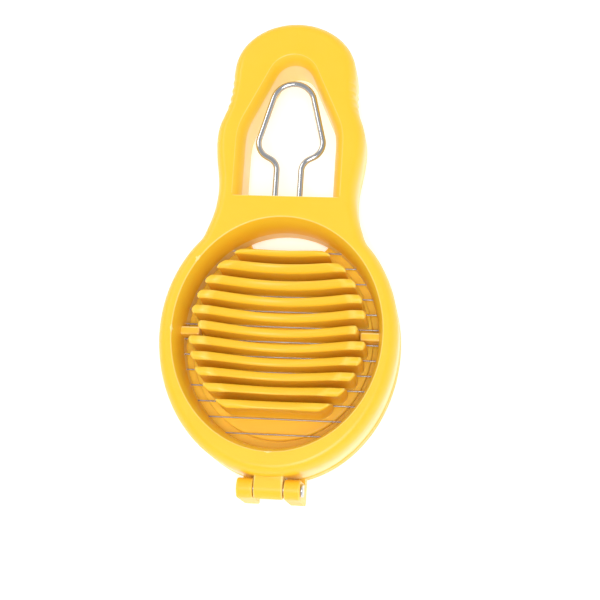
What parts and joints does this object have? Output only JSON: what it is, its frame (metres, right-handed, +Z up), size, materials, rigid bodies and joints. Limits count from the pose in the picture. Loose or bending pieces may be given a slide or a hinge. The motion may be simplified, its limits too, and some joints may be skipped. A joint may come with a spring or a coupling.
{
  "type": "egg slicer",
  "caption": "Hand-held egg slicer: an oval wire frame hinged to a ribbed cradle, with a long handle whose window holds a bent steel loop for lifting shell.",
  "frame": {"origin": "on the underside of the cradle, below the centre of the ring", "axes": "+Y runs along the handle, away from the hinge; +Z is up, out of the frame's front face; +X is to the right"},
  "size_m": [0.0838, 0.1725, 0.026],
  "materials": {
    "frame_plastic": "satin moulded",
    "cradle_plastic": "satin moulded",
    "wire_steel": "drawn wire",
    "loop_steel": "polished stainless rod",
    "pin_steel": "turned"
  },
  "bodies": {
    "cradle": {"cradle": "cradle_plastic", "hinge_pin": "pin_steel"},
    "frame": {"frame_front": "frame_plastic", "frame_back": "frame_plastic", "peeler_loop": "loop_steel", "wire_01": "wire_steel", "wire_02": "wire_steel", "wire_03": "wire_steel", "wire_04": "wire_steel", "wire_05": "wire_steel", "wire_06": "wire_steel", "wire_07": "wire_steel", "wire_08": "wire_steel", "wire_09": "wire_steel", "wire_10": "wire_steel", "wire_11": "wire_steel", "wire_12": "wire_steel", "wire_13": "wire_steel"}
  },
  "joints": [
    {"name": "frame_hinge", "type": "hinge", "parent": "cradle", "child": "frame", "pos_m": [0, -0.0533, 0.01775], "axis": [1, 0, 0], "range_deg": [0, 100]}
  ]
}
